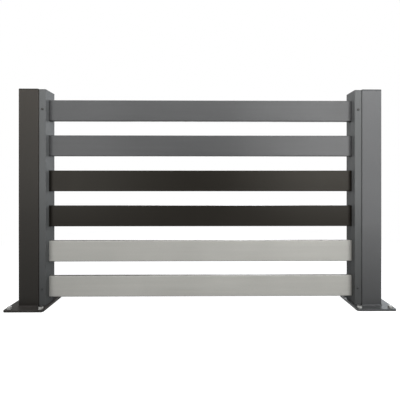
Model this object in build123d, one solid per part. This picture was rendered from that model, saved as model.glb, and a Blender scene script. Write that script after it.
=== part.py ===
from build123d import *
import os

# Aluminium slat fence panel: one bay of level slats held between two square posts on base plates.
# Millimetres, +Z up. The front faces -Y and the fence runs along +X.
# The origin is the centre of the left base plate's underside, at ground level.

# Bay
POST_SPACING = 1128.0
SLAT_COUNT = 6
SLAT_GAP = 48.0
GROUND_GAP = 27.0
TOP_MARGIN = 31.5

# Posts, square tube
POST_SIZE = 65.0
POST_WALL = 2.5
POST_CORNER = 3.0

# Base plates with their four bolt holes and the weld bead round the post foot
PLATE_OVERHANG = 31.5
PLATE_THICKNESS = 6.0
PLATE_CORNER = 8.0
PLATE_EDGE = 0.8
BOLT_EDGE = 14.0
BOLT_HOLE_RADIUS = 4.5
WELD_LEG = 3.0
WELD_CROWN = 0.35

# Post caps, pressed into the tube
CAP_THICKNESS = 4.5
CAP_EDGE = 2.8
SPIGOT_DEPTH = 12.0
SPIGOT_WALL = 2.0
FIT_CLEARANCE = 0.3

# Slat channels, closed extrusions with two screw ports, punched with one slot a slat
CHANNEL_WIDTH = 22.5
CHANNEL_SETBACK = 3.5
CHANNEL_WALL = 2.0
CHANNEL_CORNER = 1.5
CHANNEL_DROP = 1.5
CHANNEL_CAP_THICKNESS = 2.0
CHANNEL_CAP_EDGE = 0.5
TONGUE_DEPTH = 8.0
PORT_WALL = 1.3
PORT_BORE_RADIUS = 1.8
PORT_MOUTH = 1.6
LOCK_SCREW_RADIUS = 2.1

# Slats, hollow extrusions with two inner webs
SLAT_HEIGHT = 70.0
SLAT_THICKNESS = 16.0
SLAT_WALL = 1.4
SLAT_CORNER = 2.5
SLAT_WEB = 1.2
SLAT_CELLS = 3
SLAT_INSERTION = 12.0
SLOT_CLEARANCE = 0.3

# Heights that follow from the slats
slat_pitch = SLAT_HEIGHT + SLAT_GAP
top_slat_edge = GROUND_GAP + SLAT_COUNT * SLAT_HEIGHT + (SLAT_COUNT - 1) * SLAT_GAP
fence_height = top_slat_edge + TOP_MARGIN
post_length = fence_height - CAP_THICKNESS - PLATE_THICKNESS
channel_top = fence_height - CHANNEL_DROP
channel_length = channel_top - CHANNEL_CAP_THICKNESS - PLATE_THICKNESS

# Places along the fence and across it
post_half = POST_SIZE / 2
plate_size = POST_SIZE + 2 * PLATE_OVERHANG
bolt_spacing = plate_size - 2 * BOLT_EDGE
channel_face = post_half + CHANNEL_WIDTH
channel_middle = post_half + CHANNEL_WIDTH / 2
channel_depth = POST_SIZE - 2 * CHANNEL_SETBACK
clear_span = POST_SPACING - 2 * channel_face
slat_reach = CHANNEL_WALL + SLAT_INSERTION
slat_length = clear_span + 2 * slat_reach


def slat_height(index):
    """Height of the centre of a slat, counted from 0 at the top."""
    return top_slat_edge - SLAT_HEIGHT / 2 - index * slat_pitch


def tube_section(width, depth, wall, corner):
    """Closed tube section with rounded outer corners, centred on the origin."""
    return RectangleRounded(width, depth, corner) - Rectangle(width - 2 * wall, depth - 2 * wall)


def box_ring(width, depth, wall):
    """Ring with square corners, centred on the origin."""
    return Rectangle(width, depth) - Rectangle(width - 2 * wall, depth - 2 * wall)


def top_edges(solid):
    """Edges that bound the highest face of a solid."""
    return solid.faces().sort_by(Axis.Z)[-1].edges()


def post():
    section = tube_section(POST_SIZE, POST_SIZE, POST_WALL, POST_CORNER)
    return Pos(0, 0, PLATE_THICKNESS) * extrude(section, amount=post_length)


def post_cap():
    lid = extrude(RectangleRounded(POST_SIZE, POST_SIZE, POST_CORNER), amount=CAP_THICKNESS)
    lid = fillet(top_edges(lid), CAP_EDGE)
    spigot_size = POST_SIZE - 2 * POST_WALL - 2 * FIT_CLEARANCE
    spigot = extrude(box_ring(spigot_size, spigot_size, SPIGOT_WALL), amount=-SPIGOT_DEPTH)
    return Pos(0, 0, PLATE_THICKNESS + post_length) * (lid + spigot)


def base_plate():
    plate = extrude(RectangleRounded(plate_size, plate_size, PLATE_CORNER), amount=PLATE_THICKNESS)
    plate = chamfer(top_edges(plate), PLATE_EDGE)
    hole = extrude(Circle(BOLT_HOLE_RADIUS), amount=PLATE_THICKNESS)
    return plate - GridLocations(bolt_spacing, bolt_spacing, 2, 2) * hole


def base_weld():
    """Crowned fillet bead on the front, outer and back sides of the post foot."""
    foot_path = FilletPolyline(
        (post_half, -post_half),
        (-post_half, -post_half),
        (-post_half, post_half),
        (post_half, post_half),
        radius=POST_CORNER,
    )
    root = (0, 0)
    toe = (WELD_LEG, 0)
    top = (0, WELD_LEG)
    crown = (WELD_LEG / 2 + WELD_CROWN, WELD_LEG / 2 + WELD_CROWN)
    bead = make_face([Line(top, root), Line(root, toe), ThreePointArc(toe, crown, top)])
    section_plane = Plane(origin=(post_half, -post_half, 0), x_dir=(0, -1, 0), z_dir=(-1, 0, 0))
    return Pos(0, 0, PLATE_THICKNESS) * sweep(section_plane * bead, path=foot_path)


def screw_port():
    """C-shaped screw port that opens towards +X +Y, with its centre on the origin."""
    outer_radius = PORT_BORE_RADIUS + PORT_WALL
    mouth = Rot(0, 0, 45) * Pos(outer_radius / 2, 0) * Rectangle(outer_radius, PORT_MOUTH)
    return Circle(outer_radius) - Circle(PORT_BORE_RADIUS) - mouth


def channel_section():
    """Tube section of a slat channel with a screw port in each corner beside the post."""
    section = tube_section(CHANNEL_WIDTH, channel_depth, CHANNEL_WALL, CHANNEL_CORNER)
    port_inset = CHANNEL_WALL + PORT_BORE_RADIUS + PORT_WALL / 2
    port_x = port_inset - CHANNEL_WIDTH / 2
    port_y = port_inset - channel_depth / 2
    front_port = Pos(port_x, port_y) * screw_port()
    return section + front_port + mirror(front_port, about=Plane.XZ)


def slat_channel():
    body = Pos(channel_middle, 0, PLATE_THICKNESS) * extrude(channel_section(), amount=channel_length)
    slot_outline = RectangleRounded(
        SLAT_THICKNESS + 2 * SLOT_CLEARANCE,
        SLAT_HEIGHT + 2 * SLOT_CLEARANCE,
        SLAT_CORNER + SLOT_CLEARANCE,
    )
    slot = extrude(Plane.YZ * slot_outline, amount=CHANNEL_WALL)
    for index in range(SLAT_COUNT):
        body -= Pos(channel_face - CHANNEL_WALL, 0, slat_height(index)) * slot
    lock_hole = extrude(Plane.XZ * Circle(LOCK_SCREW_RADIUS), amount=CHANNEL_WALL)
    for index in (0, SLAT_COUNT - 1):
        wall_inside = CHANNEL_WALL - channel_depth / 2
        body -= Pos(channel_middle, wall_inside, slat_height(index)) * lock_hole
    return body


def channel_cap():
    lid = extrude(RectangleRounded(CHANNEL_WIDTH, channel_depth, CHANNEL_CORNER), amount=CHANNEL_CAP_THICKNESS)
    lid = chamfer(top_edges(lid), CHANNEL_CAP_EDGE)
    port_zone = 2 * (PORT_BORE_RADIUS + PORT_WALL)
    tongue_width = CHANNEL_WIDTH - 2 * CHANNEL_WALL - 2 * FIT_CLEARANCE
    tongue_depth = channel_depth - 2 * CHANNEL_WALL - 2 * port_zone - 2 * FIT_CLEARANCE
    tongue = extrude(box_ring(tongue_width, tongue_depth, SPIGOT_WALL), amount=-TONGUE_DEPTH)
    return Pos(channel_middle, 0, channel_top - CHANNEL_CAP_THICKNESS) * (lid + tongue)


def slat(index):
    """One hollow slat, from inside the left channel to inside the right one."""
    section = RectangleRounded(SLAT_THICKNESS, SLAT_HEIGHT, SLAT_CORNER)
    cell_width = SLAT_THICKNESS - 2 * SLAT_WALL
    cell_height = (SLAT_HEIGHT - 2 * SLAT_WALL - (SLAT_CELLS - 1) * SLAT_WEB) / SLAT_CELLS
    cell = Rectangle(cell_width, cell_height)
    for place in GridLocations(0, cell_height + SLAT_WEB, 1, SLAT_CELLS):
        section -= place * cell
    start = channel_face - slat_reach
    return Pos(start, 0, slat_height(index)) * extrude(Plane.YZ * section, amount=slat_length)


def right_hand(piece):
    """The same piece at the right post, mirrored about the middle of the bay."""
    return mirror(piece, about=Plane(origin=(POST_SPACING / 2, 0, 0), z_dir=(1, 0, 0)))


def write(name, piece):
    piece.label = name
    export_step(piece, f"parts/{name}.step")


def main():
    os.makedirs("parts", exist_ok=True)
    sides = {
        "post": post(),
        "post_cap": post_cap(),
        "base_plate": base_plate(),
        "base_weld": base_weld(),
        "slat_channel": slat_channel(),
        "channel_cap": channel_cap(),
    }
    for name, piece in sides.items():
        write(f"left_{name}", piece)
        write(f"right_{name}", right_hand(piece))
    for index in range(SLAT_COUNT):
        write(f"slat_{index + 1}", slat(index))


main()
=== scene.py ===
import math
import random

import bmesh
import bpy
from mathutils import Matrix, Vector


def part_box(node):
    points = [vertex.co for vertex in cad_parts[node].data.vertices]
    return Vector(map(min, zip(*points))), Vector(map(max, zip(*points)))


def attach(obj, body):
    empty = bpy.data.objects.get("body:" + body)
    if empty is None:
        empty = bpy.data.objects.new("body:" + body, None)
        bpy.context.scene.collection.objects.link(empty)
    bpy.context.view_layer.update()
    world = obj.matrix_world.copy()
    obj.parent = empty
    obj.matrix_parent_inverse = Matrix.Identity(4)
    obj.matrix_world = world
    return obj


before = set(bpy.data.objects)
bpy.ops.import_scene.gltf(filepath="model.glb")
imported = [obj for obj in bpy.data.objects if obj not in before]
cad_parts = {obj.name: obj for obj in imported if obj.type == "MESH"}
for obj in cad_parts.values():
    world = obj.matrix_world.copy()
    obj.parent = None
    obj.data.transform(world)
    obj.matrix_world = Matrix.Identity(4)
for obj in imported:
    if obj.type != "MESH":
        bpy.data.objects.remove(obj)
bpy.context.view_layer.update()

# Looks of the metal fence panel, in metres and in the CAD's own frame: X along the fence, -Y to
# the front, +Z up. The CAD solids keep their shapes and get materials. Only small hardware is made
# here.

RANDOM_SEED = 7
random.seed(RANDOM_SEED)

SIDES = ("left", "right")
SLAT_COUNT = 6

# Corners read from the solids
plate_low, plate_high = {}, {}
channel_low, channel_high = {}, {}
post_low, post_high = {}, {}
for side in SIDES:
    plate_low[side], plate_high[side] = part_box(f"{side}_base_plate")
    channel_low[side], channel_high[side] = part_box(f"{side}_slat_channel")
    post_low[side], post_high[side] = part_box(f"{side}_post")
bay_middle = (post_low["left"].x + post_high["right"].x) / 2
post_front = post_low["left"].y


def link_to_scene(thing):
    bpy.context.scene.collection.objects.link(thing)


# Camera, fitted to the straight edges in the photograph. Its offset is along X from the middle of
# the bay, its distance is from the posts' front faces, and its turn is to the right, in radians.
IMAGE_PX = 400
FOCAL_PX = 297.4
HORIZON_PX = 179.8
AXIS_PX = 206.0
SENSOR_MM = 36.0
CAMERA_OFFSET = 0.0081
CAMERA_DISTANCE = 0.9764
CAMERA_HEIGHT = 0.4196
CAMERA_TURN = 0.0086


def make_camera():
    data = bpy.data.cameras.new("camera")
    data.sensor_width = SENSOR_MM
    data.lens = SENSOR_MM * FOCAL_PX / IMAGE_PX
    data.shift_x = (IMAGE_PX / 2 - AXIS_PX) / IMAGE_PX
    data.shift_y = (HORIZON_PX - IMAGE_PX / 2) / IMAGE_PX
    camera = bpy.data.objects.new("camera", data)
    camera.location = (bay_middle + CAMERA_OFFSET, post_front - CAMERA_DISTANCE, CAMERA_HEIGHT)
    camera.rotation_euler = (math.pi / 2, 0, -CAMERA_TURN)
    link_to_scene(camera)
    bpy.context.scene.camera = camera


# Node helpers

# Nearly all values of a noise lie in this span
NOISE_SPAN = (0.3, 0.7)

BEVEL_SAMPLES = 6
OCCLUSION_SAMPLES = 6

# The Mix node repeats its socket names for every data type, so the colour ones go by number
MIX_FACTOR, MIX_FIRST, MIX_SECOND, MIX_RESULT = 0, 6, 7, 2


def new_material(name):
    material = bpy.data.materials.new(name)
    material.use_nodes = True
    tree = material.node_tree
    tree.nodes.clear()
    output = tree.nodes.new("ShaderNodeOutputMaterial")
    return material, tree, output


def feed(tree, socket, value):
    """Links an output to a socket, or sets a number or an RGB colour on it."""
    if isinstance(value, bpy.types.NodeSocket):
        tree.links.new(value, socket)
    elif isinstance(value, tuple) and len(socket.default_value) > len(value):
        socket.default_value = (*value, 1.0)
    else:
        socket.default_value = value


def add_noise(tree, vector, scale, detail=2.0, roughness=0.5):
    noise = tree.nodes.new("ShaderNodeTexNoise")
    noise.inputs["Scale"].default_value = scale
    noise.inputs["Detail"].default_value = detail
    noise.inputs["Roughness"].default_value = roughness
    tree.links.new(vector, noise.inputs["Vector"])
    return noise.outputs["Fac"]


def add_range(tree, value, span, low, high):
    """Low at the span's start and high at its end, held beyond both."""
    node = tree.nodes.new("ShaderNodeMapRange")
    node.inputs["From Min"].default_value = span[0]
    node.inputs["From Max"].default_value = span[1]
    node.inputs["To Min"].default_value = low
    node.inputs["To Max"].default_value = high
    tree.links.new(value, node.inputs["Value"])
    return node.outputs["Result"]


def add_math(tree, operation, first, second):
    node = tree.nodes.new("ShaderNodeMath")
    node.operation = operation
    feed(tree, node.inputs[0], first)
    feed(tree, node.inputs[1], second)
    return node.outputs["Value"]


def add_vector_math(tree, operation, first, second):
    node = tree.nodes.new("ShaderNodeVectorMath")
    node.operation = operation
    feed(tree, node.inputs[0], first)
    feed(tree, node.inputs[1], second)
    return node


def add_mix(tree, factor, first, second):
    node = tree.nodes.new("ShaderNodeMix")
    node.data_type = "RGBA"
    feed(tree, node.inputs[MIX_FACTOR], factor)
    feed(tree, node.inputs[MIX_FIRST], first)
    feed(tree, node.inputs[MIX_SECOND], second)
    return node.outputs[MIX_RESULT]


def add_scaled_colour(tree, colour, factor):
    """The colour times a factor that varies over the surface."""
    node = tree.nodes.new("ShaderNodeVectorMath")
    node.operation = "SCALE"
    feed(tree, node.inputs[0], colour)
    tree.links.new(factor, node.inputs["Scale"])
    return node.outputs["Vector"]


def add_height(tree, vector):
    """The Z part of a vector."""
    split = tree.nodes.new("ShaderNodeSeparateXYZ")
    tree.links.new(vector, split.inputs["Vector"])
    return split.outputs["Z"]


def add_rounding(tree, radius):
    """The normal that the surface would have with its edges rounded."""
    bevel = tree.nodes.new("ShaderNodeBevel")
    bevel.samples = BEVEL_SAMPLES
    bevel.inputs["Radius"].default_value = radius
    return bevel.outputs["Normal"]


def add_edge_mask(tree, radius, span):
    """Near 1 on outer edges, from how far a rounded normal turns from the flat one."""
    geometry = tree.nodes.new("ShaderNodeNewGeometry")
    rounded, flat = add_rounding(tree, radius), geometry.outputs["Normal"]
    together = add_vector_math(tree, "DOT_PRODUCT", rounded, flat).outputs["Value"]
    return add_range(tree, add_math(tree, "SUBTRACT", 1.0, together), span, 0.0, 1.0)


def add_crevice_mask(tree, reach, span):
    """Near 1 in seams and inner corners, from how much is blocked within a short reach."""
    occlusion = tree.nodes.new("ShaderNodeAmbientOcclusion")
    occlusion.samples = OCCLUSION_SAMPLES
    occlusion.inputs["Distance"].default_value = reach
    return add_range(tree, occlusion.outputs["AO"], span, 0.0, 1.0)


def add_bump(tree, height, strength, depth):
    bump = tree.nodes.new("ShaderNodeBump")
    bump.inputs["Strength"].default_value = strength
    bump.inputs["Distance"].default_value = depth
    tree.links.new(height, bump.inputs["Height"])
    return bump


def add_shader(tree, output, colour, gloss, bump, settings):
    """The surface itself. What is the same all over is set on the shader's own sockets."""
    shader = tree.nodes.new("ShaderNodeBsdfPrincipled")
    tree.links.new(colour, shader.inputs["Base Color"])
    tree.links.new(gloss, shader.inputs["Roughness"])
    tree.links.new(bump.outputs["Normal"], shader.inputs["Normal"])
    for socket, value in settings.items():
        shader.inputs[socket].default_value = value
    tree.links.new(shader.outputs["BSDF"], output.inputs["Surface"])


# Powder coat: fine grain over faint orange peel and soft mottling, rubbed edges that are partly a
# painted highlight, and dust on top faces. Painted shade darkens faces that look down, seams and
# inner corners, and the foot.

GRAIN_SCALE = 900.0
GRAIN_SPREAD = 0.05
MOTTLE_SCALE = 5.0
MOTTLE_SPREAD = 0.05
PEEL_SCALE = 260.0
SCUFF_SCALE = 38.0
RUB_SCALE = 12.0
STREAK_SCALE = 90.0
STREAK_STRETCH = (0.03, 1.0, 1.0)
PEEL_STRENGTH = 0.12
PEEL_DEPTH = 0.0002
EDGE_ROUNDING = 0.0005
COAT_GLOSS_SPREAD = (-0.02, 0.03)

WEAR_AND_HIGHLIGHT_RADIUS = 0.0012
WEAR_AND_HIGHLIGHT_TURN = (0.03, 0.25)
WEAR_AND_HIGHLIGHT_PATCHES = (0.42, 0.62)
WORN_AND_HIGHLIGHT_GAIN = 1.6
WORN_AND_HIGHLIGHT_LIFT = 0.03

FACING_UP = (0.85, 1.0)
FACING_DOWN = (-0.08, -0.5)
# Painted shade in seams and inner corners: where the occlusion mask finds nearby surfaces, the coat
# goes towards a near-black colour
SEAM_OCCLUSION = (0.85, 0.35)
CREVICE_SHADE_REACH = 0.007
THIN_DUST_AND_SHADE_SHARE = 0.7
THIN_CREVICE_SHADE_SHARE = 0.75
DUST_COLOUR = (0.10, 0.095, 0.085)
CREVICE_SHADE_COLOUR = (0.020, 0.018, 0.015)
# Near-black painted shade for faces that look down
UNDERSIDE_SHADE_COLOUR = (0.035, 0.032, 0.028)


def add_coat_tone(tree, place, streak):
    """How much lighter or darker the coat is from place to place."""
    layers = [(add_noise(tree, place, GRAIN_SCALE, detail=1.0), GRAIN_SPREAD),
              (add_noise(tree, place, MOTTLE_SCALE, detail=3.0), MOTTLE_SPREAD)]
    if streak:
        drawn = add_vector_math(tree, "MULTIPLY", place, STREAK_STRETCH).outputs["Vector"]
        layers.append((add_noise(tree, drawn, STREAK_SCALE, detail=4.0, roughness=0.6), streak))
    factors = [add_range(tree, noise, NOISE_SPAN, 1.0 - spread, 1.0 + spread)
               for noise, spread in layers]
    tone = factors[0]
    for factor in factors[1:]:
        tone = add_math(tree, "MULTIPLY", tone, factor)
    return tone


# Rubbed edges, lighter than the coat. On the silver slats and the dark plates these light edges are
# also a painted highlight.
def add_wear_and_edge_highlight(tree, base, scuffs, wear_and_edge_highlight, worn_and_highlight):
    edges = add_edge_mask(tree, WEAR_AND_HIGHLIGHT_RADIUS, WEAR_AND_HIGHLIGHT_TURN)
    patches = add_range(tree, scuffs, WEAR_AND_HIGHLIGHT_PATCHES, 0.0, wear_and_edge_highlight)
    return add_mix(tree, add_math(tree, "MULTIPLY", edges, patches), base, worn_and_highlight)


# Dust on top faces. On the silver slats, whose settling colour is near black, it is painted shade
# darkening their tops.
def add_top_dust_and_shade(tree, base, scuffs, facing, dust_and_top_shade, settling_and_top_shade):
    level = add_range(tree, facing, FACING_UP, 0.0, dust_and_top_shade)
    patches = add_range(tree, scuffs, NOISE_SPAN, THIN_DUST_AND_SHADE_SHARE, 1.0)
    return add_mix(tree, add_math(tree, "MULTIPLY", level, patches), base, settling_and_top_shade)


# Painted shade: seams, slat ends and inner corners are darkened where nearby surfaces block the
# occlusion rays
def add_painted_crevice_shade(tree, base, scuffs, crevice_shade):
    seams = add_crevice_mask(tree, CREVICE_SHADE_REACH, SEAM_OCCLUSION)
    patches = add_range(tree, scuffs, NOISE_SPAN, THIN_CREVICE_SHADE_SHARE * crevice_shade, crevice_shade)
    return add_mix(tree, add_math(tree, "MULTIPLY", seams, patches), base, CREVICE_SHADE_COLOUR)


# Painted shade: the coat gets darker towards the bottom, up to the given height, in place of light
# that falls off downwards
def add_painted_foot_shade(tree, base, place, foot_shade, foot_shade_height):
    shade = add_range(tree, add_height(tree, place), (0.0, foot_shade_height), foot_shade, 0.0)
    return add_scaled_colour(tree, base, add_math(tree, "SUBTRACT", 1.0, shade))


def powder_coat(name, colour, roughness, specular, tint=(1.0, 1.0, 1.0), metallic=0.0,
                streak=0.0, wear_and_edge_highlight=0.35, worn_and_highlight=None, dust_and_top_shade=0.10, settling_and_top_shade=DUST_COLOUR, underside_shade=0.2,
                crevice_shade=0.6, foot_shade=0.0, foot_shade_height=0.28):
    """Coat of one colour.

    Each amount goes from 0, none, to 1, full: streak; rubbed edges, partly a painted highlight; top
    dust, partly painted shade; painted shade on faces that look down, in seams and at the foot. The
    worn colour is that of rubbed edges and edge highlights, the settling colour that of top dust
    and shade. The painted foot shade reaches up to its height in metres.
    """
    material, tree, output = new_material(name)
    place = tree.nodes.new("ShaderNodeTexCoord").outputs["Object"]
    facing = add_height(tree, tree.nodes.new("ShaderNodeNewGeometry").outputs["Normal"])
    scuffs = add_noise(tree, place, SCUFF_SCALE, detail=5.0, roughness=0.65)
    worn_and_highlight = worn_and_highlight or tuple(min(1.0, part * WORN_AND_HIGHLIGHT_GAIN + WORN_AND_HIGHLIGHT_LIFT) for part in colour)

    base = add_scaled_colour(tree, colour, add_coat_tone(tree, place, streak))
    base = add_wear_and_edge_highlight(tree, base, scuffs, wear_and_edge_highlight, worn_and_highlight)
    base = add_top_dust_and_shade(tree, base, scuffs, facing, dust_and_top_shade, settling_and_top_shade)
    # Painted shade: faces that look down, such as the slats' undersides, are darkened
    base = add_mix(tree, add_range(tree, facing, FACING_DOWN, 0.0, underside_shade), base, UNDERSIDE_SHADE_COLOUR)
    # Painted shade in seams and inner corners
    base = add_painted_crevice_shade(tree, base, scuffs, crevice_shade)
    # Painted shade, darker towards the bottom
    if foot_shade:
        base = add_painted_foot_shade(tree, base, place, foot_shade, foot_shade_height)

    rub = add_noise(tree, place, RUB_SCALE, detail=3.0)
    gloss = add_range(tree, rub, NOISE_SPAN, *(roughness + step for step in COAT_GLOSS_SPREAD))
    peel = add_bump(tree, add_noise(tree, place, PEEL_SCALE), PEEL_STRENGTH, PEEL_DEPTH)
    tree.links.new(add_rounding(tree, EDGE_ROUNDING), peel.inputs["Normal"])
    settings = {"Specular IOR Level": specular, "Specular Tint": (*tint, 1.0), "Metallic": metallic}
    add_shader(tree, output, base, gloss, peel, settings)
    return material


# Plated steel: a faint spangle and small stains

SPANGLE_SCALE = 420.0
SPANGLE_TONE = (0.88, 1.08)
SPANGLE_STRENGTH = 0.15
SPANGLE_DEPTH = 0.0001
STAIN_SCALE = 160.0
STAIN_PATCHES = (0.55, 0.75)
STAIN_SHARE = 0.35
STAIN_COLOUR = (0.22, 0.2, 0.17)
PLATED_GLOSS_SPREAD = (-0.06, 0.12)


def plated_steel(name, colour, roughness):
    material, tree, output = new_material(name)
    place = tree.nodes.new("ShaderNodeTexCoord").outputs["Object"]
    spangle = add_noise(tree, place, SPANGLE_SCALE)
    stain = add_noise(tree, place, STAIN_SCALE, detail=4.0, roughness=0.6)

    base = add_scaled_colour(tree, colour, add_range(tree, spangle, NOISE_SPAN, *SPANGLE_TONE))
    stained = add_range(tree, stain, STAIN_PATCHES, 0.0, STAIN_SHARE)
    base = add_mix(tree, stained, base, STAIN_COLOUR)
    gloss = add_range(tree, stain, NOISE_SPAN, *(roughness + step for step in PLATED_GLOSS_SPREAD))
    bump = add_bump(tree, spangle, SPANGLE_STRENGTH, SPANGLE_DEPTH)
    add_shader(tree, output, base, gloss, bump, {"Metallic": 1.0})
    return material


# Finishes, fitted to the photograph. Colours are linear RGB.

COATS = {
    "dark_post": dict(colour=(0.0425, 0.0385, 0.0335), roughness=0.42, specular=0.12,
                      foot_shade=0.6, foot_shade_height=0.65),
    "grey_post": dict(colour=(0.113, 0.1145, 0.1165), roughness=0.42, specular=0.12, foot_shade=0.5),
    "dark_cap": dict(colour=(0.024, 0.022, 0.019), roughness=0.5, specular=0.12),
    "grey_cap": dict(colour=(0.055, 0.057, 0.058), roughness=0.5, specular=0.12),
    # The dark plates' strong edge lightening is partly a painted highlight on their front edges.
    "dark_plate": dict(colour=(0.031, 0.0285, 0.0265), roughness=0.5, specular=0.08,
                       wear_and_edge_highlight=0.9, dust_and_top_shade=0.06),
    "grey_plate": dict(colour=(0.053, 0.055, 0.057), roughness=0.38, specular=0.22, wear_and_edge_highlight=0.5),
    "channel_grey": dict(colour=(0.126, 0.130, 0.130), roughness=0.42, specular=0.03,
                         foot_shade=0.5, foot_shade_height=0.4),
    "slat_grey": dict(colour=(0.068, 0.069, 0.070), roughness=0.3, specular=0.25,
                      streak=0.04, underside_shade=0.5, crevice_shade=0.45),
    "slat_black": dict(colour=(0.0062, 0.0052, 0.0038), roughness=0.33, specular=0.17,
                       tint=(1.0, 0.95, 0.86), streak=0.04, dust_and_top_shade=0.04, crevice_shade=0.3),
    # Silver slats: the near-black top dust is painted shade on their tops, and the light worn
    # colour on their edges is a painted highlight.
    "slat_silver": dict(colour=(0.395, 0.39, 0.364), roughness=0.38, specular=0.08, metallic=0.1,
                        streak=0.03, wear_and_edge_highlight=0.9, worn_and_highlight=(0.62, 0.615, 0.59),
                        dust_and_top_shade=1.0, settling_and_top_shade=(0.05, 0.047, 0.042), underside_shade=0.85, crevice_shade=0.3),
}

PLATINGS = {
    "zinc_bolt": dict(colour=(0.34, 0.34, 0.33), roughness=0.4),
    "dark_screw": dict(colour=(0.055, 0.055, 0.053), roughness=0.45),
}

finish = {slot: powder_coat(slot, **coat) for slot, coat in COATS.items()}
finish.update((slot, plated_steel(slot, **plating)) for slot, plating in PLATINGS.items())

NODE_FINISH = {
    "left_post": "dark_post",
    "right_post": "grey_post",
    "left_post_cap": "dark_cap",
    "right_post_cap": "grey_cap",
    "left_base_plate": "dark_plate",
    "right_base_plate": "grey_plate",
    "left_base_weld": "dark_plate",
    "right_base_weld": "grey_plate",
    "left_slat_channel": "channel_grey",
    "right_slat_channel": "channel_grey",
    "left_channel_cap": "grey_cap",
    "right_channel_cap": "grey_cap",
    "slat_1": "slat_grey",
    "slat_2": "slat_grey",
    "slat_3": "slat_black",
    "slat_4": "slat_black",
    "slat_5": "slat_silver",
    "slat_6": "slat_silver",
}


def dress_nodes():
    for node, slot in NODE_FINISH.items():
        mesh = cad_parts[node].data
        mesh.materials.clear()
        mesh.materials.append(finish[slot])


# Mesh helpers

RING_COUNT = 36
SHARP_ANGLE = math.radians(35)
HEXAGON_TURN = math.pi / 3


def mesh_object(name, bm, material):
    bmesh.ops.recalc_face_normals(bm, faces=bm.faces)
    mesh = bpy.data.meshes.new(name)
    bm.to_mesh(mesh)
    bm.free()
    mesh.materials.append(material)
    for polygon in mesh.polygons:
        polygon.use_smooth = True
    mesh.set_sharp_from_angle(angle=SHARP_ANGLE)
    piece = bpy.data.objects.new(name, mesh)
    link_to_scene(piece)
    return piece


def ring(bm, height, radius_at):
    """Points at even angles round the Z axis, each at the radius for its angle."""
    verts = []
    for i in range(RING_COUNT):
        angle = 2 * math.pi * i / RING_COUNT
        radius = radius_at(angle)
        verts.append(bm.verts.new((radius * math.cos(angle), radius * math.sin(angle), height)))
    return verts


def circle_ring(bm, radius, height):
    return ring(bm, height, lambda angle: radius)


def hexagon_ring(bm, across_flats, height):
    """The same number of points as a circle has, on the sides of a hexagon."""
    def radius_at(angle):
        from_flat = (angle + HEXAGON_TURN / 2) % HEXAGON_TURN - HEXAGON_TURN / 2
        return across_flats / 2 / math.cos(from_flat)
    return ring(bm, height, radius_at)


def join_rings(bm, rings):
    for first, second in zip(rings, rings[1:]):
        for i in range(RING_COUNT):
            j = (i + 1) % RING_COUNT
            bm.faces.new((first[i], first[j], second[j], second[i]))


# Anchor bolts: washer, hexagon head with a turned top, and a shank down through the plate

BOLT_INSET = 0.014
BOLT_ACROSS_FLATS = 0.013
BOLT_HEAD_HEIGHT = 0.0053
BOLT_FACE_SHARE = 0.95
BOLT_DISH_SHARE = 0.82
BOLT_DISH_DEPTH = 0.0003
BOLT_CHAMFER = math.radians(30)
SHANK_RADIUS = 0.004
WASHER_RADIUS = 0.0075
WASHER_BORE_RADIUS = 0.0042
WASHER_THICKNESS = 0.0016
WASHER_CHAMFER = 0.0003


def washer_mesh(bm):
    profile = (
        (WASHER_BORE_RADIUS, 0.0),
        (WASHER_RADIUS, 0.0),
        (WASHER_RADIUS, WASHER_THICKNESS - WASHER_CHAMFER),
        (WASHER_RADIUS - WASHER_CHAMFER, WASHER_THICKNESS),
        (WASHER_BORE_RADIUS, WASHER_THICKNESS),
    )
    rings = [circle_ring(bm, radius, height) for radius, height in profile]
    join_rings(bm, rings + rings[:1])


def bolt_head_mesh(bm, seat):
    """Hexagon head from its seat up. A cone cuts the hexagon's top corners."""
    top = seat + BOLT_HEAD_HEIGHT
    face_radius = BOLT_ACROSS_FLATS / 2 * BOLT_FACE_SHARE
    bottom = hexagon_ring(bm, BOLT_ACROSS_FLATS, seat)
    shoulder = hexagon_ring(bm, BOLT_ACROSS_FLATS, top)
    for vert in shoulder:
        beyond = math.hypot(vert.co.x, vert.co.y) - face_radius
        vert.co.z = top - beyond * math.tan(BOLT_CHAMFER)
    face = circle_ring(bm, face_radius, top)
    dish = circle_ring(bm, face_radius * BOLT_DISH_SHARE, top - BOLT_DISH_DEPTH)
    join_rings(bm, [bottom, shoulder, face, dish])
    bm.faces.new(dish)
    bm.faces.new(bottom)


def shank_mesh(bm, low, high):
    ends = [circle_ring(bm, SHANK_RADIUS, height) for height in (low, high)]
    join_rings(bm, ends)
    for end in ends:
        bm.faces.new(end)


def add_bolt(bm, x, y, side):
    """One bolt with its washer on the plate, turned at random as bolts are when tight."""
    first = len(bm.verts)
    top = plate_high[side].z
    washer_mesh(bm)
    bolt_head_mesh(bm, WASHER_THICKNESS)
    shank_mesh(bm, plate_low[side].z - top, WASHER_THICKNESS)
    turn = Matrix.Rotation(random.uniform(0, HEXAGON_TURN), 4, "Z")
    bm.verts.ensure_lookup_table()
    bmesh.ops.transform(bm, matrix=Matrix.Translation((x, y, top)) @ turn, verts=bm.verts[first:])


def make_bolts():
    for side in SIDES:
        bm = bmesh.new()
        for x in (plate_low[side].x + BOLT_INSET, plate_high[side].x - BOLT_INSET):
            for y in (plate_low[side].y + BOLT_INSET, plate_high[side].y - BOLT_INSET):
                add_bolt(bm, x, y, side)
        bolts = mesh_object(f"{side}_anchor_bolts", bm, finish["zinc_bolt"])
        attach(bolts, "root")


# Lock screws: domed heads with a hexagon socket on the channels' front faces, level with the top
# and bottom slats. The upper pair is blackened steel. The lower pair was painted with the channels.

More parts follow.
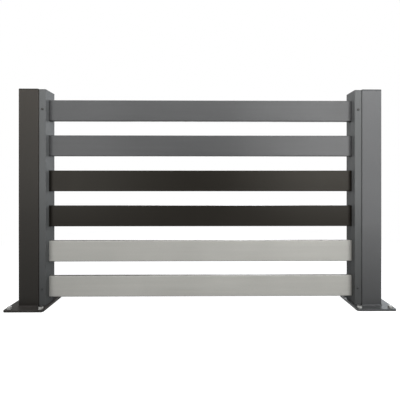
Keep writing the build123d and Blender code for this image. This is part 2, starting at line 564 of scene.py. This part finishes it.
SCREW_RADIUS = 0.004
SCREW_HEIGHT = 0.0022
SCREW_LAND_SHARE = 0.72
SOCKET_ACROSS_FLATS = 0.0030
SOCKET_DEPTH = 0.0013
SOCKET_FLOOR_SHARE = 0.96
DOME_STEPS = 6

SCREW_LEVELS = (
    ("upper", "slat_1", "dark_screw"),
    ("lower", f"slat_{SLAT_COUNT}", "channel_grey"),
)


def screw_mesh(bm):
    rings = [circle_ring(bm, SCREW_RADIUS, 0.0)]
    land = SOCKET_ACROSS_FLATS * SCREW_LAND_SHARE
    for step in range(1, DOME_STEPS + 1):
        angle = math.pi / 2 * step / DOME_STEPS
        radius = land + (SCREW_RADIUS - land) * math.cos(angle)
        rings.append(circle_ring(bm, radius, SCREW_HEIGHT * math.sin(angle)))
    rings.append(hexagon_ring(bm, SOCKET_ACROSS_FLATS, SCREW_HEIGHT))
    socket_floor = SOCKET_ACROSS_FLATS * SOCKET_FLOOR_SHARE
    rings.append(hexagon_ring(bm, socket_floor, SCREW_HEIGHT - SOCKET_DEPTH))
    join_rings(bm, rings)
    bm.faces.new(rings[0])
    bm.faces.new(rings[-1])


def make_lock_screws():
    for side in SIDES:
        middle = (channel_low[side].x + channel_high[side].x) / 2
        for level, slat, slot in SCREW_LEVELS:
            low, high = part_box(slat)
            bm = bmesh.new()
            screw_mesh(bm)
            place = Matrix.Translation((middle, channel_low[side].y, (low.z + high.z) / 2))
            bm.transform(place @ Matrix.Rotation(math.pi / 2, 4, "X"))
            screw = mesh_object(f"{side}_{level}_lock_screw", bm, finish[slot])
            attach(screw, "root")


# Studio: white floor and white world to the camera and in reflections, with plain soft lamps

WHITE = (1.0, 1.0, 1.0)
SKY = (0.86, 0.93, 1.0)
WORLD_COLOUR = (0.95, 0.98, 1.0)
WORLD_STRENGTH = 0.14

FLOOR_HALF = 6.0
FLOOR_BOUNCE = (0.14, 0.14, 0.14)

# Near the fence the floor's white keeps shadows. The first number of a pair is for there, and the
# second is for farther away, where the floor is plain white.
SHADOW_DISTANCE = (0.75, 1.6)
SHADOW_SHARE = (0.5, 0.0)
GLOW_SHARE = (0.8, 1.0)

# Name, place, target, width and height, watts and colour. X counts from the middle of the bay.
LAMPS = (
    ("front_panel", (0.0, -1.6, 1.3), (0.0, 0.0, 0.4), (2.4, 0.8), 9.8, WHITE),
    ("front_strip", (0.0, -0.40, 1.12), (0.0, 0.0, 0.48), (2.0, 0.25), 5.9, WHITE),
    ("right_side", (1.15, -1.5, 0.7), (0.35, 0.0, 0.5), (0.7, 1.1), 7.5, WHITE),
    ("left_side", (-1.15, -1.5, 0.7), (-0.35, 0.0, 0.5), (0.7, 1.1), 4.6, WHITE),
    ("right_near", (0.75, -0.95, 0.85), (0.5, 0.0, 0.45), (0.9, 0.8), 4.4, WHITE),
    ("left_low", (-0.75, -0.95, 0.45), (-0.5, 0.0, 0.3), (0.9, 0.5), 1.4, WHITE),
    ("right_low", (0.75, -0.95, 0.45), (0.5, 0.0, 0.3), (0.9, 0.5), 2.0, WHITE),
    ("window", (0.5, 2.0, 1.0), (-0.5, 0.0, 0.6), (0.8, 0.9), 8.0, SKY),
    ("sky_right", (1.7, 2.0, 0.9), (0.6, 0.0, 0.0), (0.8, 0.7), 5.0, SKY),
    ("back_panel", (0.6, 3.0, 1.4), (0.0, 0.0, 0.4), (2.4, 1.2), 30.0, WHITE),
    ("back_fill", (0.0, 5.0, 0.6), (0.0, 0.0, 0.4), (3.0, 1.0), 30.0, WHITE),
    ("left_end", (-3.2, 0.0, 1.5), (0.0, 0.0, 0.4), (0.8, 0.8), 22.0, WHITE),
    ("right_end", (3.2, 0.0, 1.5), (0.0, 0.0, 0.4), (0.8, 0.8), 22.0, SKY),
)


def add_seen(tree):
    """1 for the rays that show the background, straight or in gloss or glass, and 0 for light."""
    rays = tree.nodes.new("ShaderNodeLightPath").outputs
    seen = add_math(tree, "MAXIMUM", rays["Is Camera Ray"], rays["Is Glossy Ray"])
    return add_math(tree, "MAXIMUM", seen, rays["Is Transmission Ray"])


def show_when_seen(tree, output, light, white):
    """The white shader where it is seen, and the other one as a source of light."""
    mix = tree.nodes.new("ShaderNodeMixShader")
    for socket, source in zip(mix.inputs, (add_seen(tree), light, white)):
        tree.links.new(source, socket)
    tree.links.new(mix.outputs["Shader"], output.inputs["Surface"])


def floor_finish():
    material, tree, output = new_material("floor_white")
    bounce = tree.nodes.new("ShaderNodeBsdfDiffuse")
    feed(tree, bounce.inputs["Color"], FLOOR_BOUNCE)

    place = tree.nodes.new("ShaderNodeTexCoord").outputs["Object"]
    length = tree.nodes.new("ShaderNodeVectorMath")
    length.operation = "LENGTH"
    tree.links.new(place, length.inputs[0])
    keep = add_range(tree, length.outputs["Value"], SHADOW_DISTANCE, *SHADOW_SHARE)
    shadowed = tree.nodes.new("ShaderNodeBsdfDiffuse")
    tree.links.new(keep, shadowed.inputs["Color"])
    glow = tree.nodes.new("ShaderNodeEmission")
    tree.links.new(add_range(tree, keep, SHADOW_SHARE, *GLOW_SHARE), glow.inputs["Strength"])
    white = tree.nodes.new("ShaderNodeAddShader")
    tree.links.new(shadowed.outputs["BSDF"], white.inputs[0])
    tree.links.new(glow.outputs["Emission"], white.inputs[1])
    show_when_seen(tree, output, bounce.outputs["BSDF"], white.outputs["Shader"])
    return material


def make_floor():
    bm = bmesh.new()
    corners = ((-1, -1), (1, -1), (1, 1), (-1, 1))
    bm.faces.new([bm.verts.new((x * FLOOR_HALF, y * FLOOR_HALF, 0)) for x, y in corners])
    mesh = bpy.data.meshes.new("floor")
    bm.to_mesh(mesh)
    bm.free()
    mesh.materials.append(floor_finish())
    floor = bpy.data.objects.new("floor", mesh)
    floor.location = (bay_middle, 0, plate_low["left"].z)
    link_to_scene(floor)


def add_background(tree, colour, strength):
    background = tree.nodes.new("ShaderNodeBackground")
    feed(tree, background.inputs["Color"], colour)
    feed(tree, background.inputs["Strength"], strength)
    return background.outputs["Background"]


def make_world():
    world = bpy.data.worlds.new("studio")
    world.use_nodes = True
    tree = world.node_tree
    tree.nodes.clear()
    output = tree.nodes.new("ShaderNodeOutputWorld")
    ambient = add_background(tree, WORLD_COLOUR, WORLD_STRENGTH)
    show_when_seen(tree, output, ambient, add_background(tree, WHITE, 1.0))
    bpy.context.scene.world = world


def from_middle(point):
    """A point whose X counts from the middle of the bay, in the scene."""
    return Vector((bay_middle + point[0], *point[1:]))


def make_lamp(name, place, target, size, watts, colour):
    data = bpy.data.lights.new(name, "AREA")
    data.shape = "RECTANGLE"
    data.size, data.size_y = size
    data.energy = watts
    data.color = colour
    lamp = bpy.data.objects.new(name, data)
    lamp.location = from_middle(place)
    aim = from_middle(target) - from_middle(place)
    lamp.rotation_euler = aim.to_track_quat("-Z", "Y").to_euler()
    lamp.visible_camera = False
    link_to_scene(lamp)


def make_studio():
    make_floor()
    make_world()
    for lamp in LAMPS:
        make_lamp(*lamp)
    bpy.context.scene.view_settings.view_transform = "Standard"


make_camera()
dress_nodes()
make_bolts()
make_lock_screws()
make_studio()
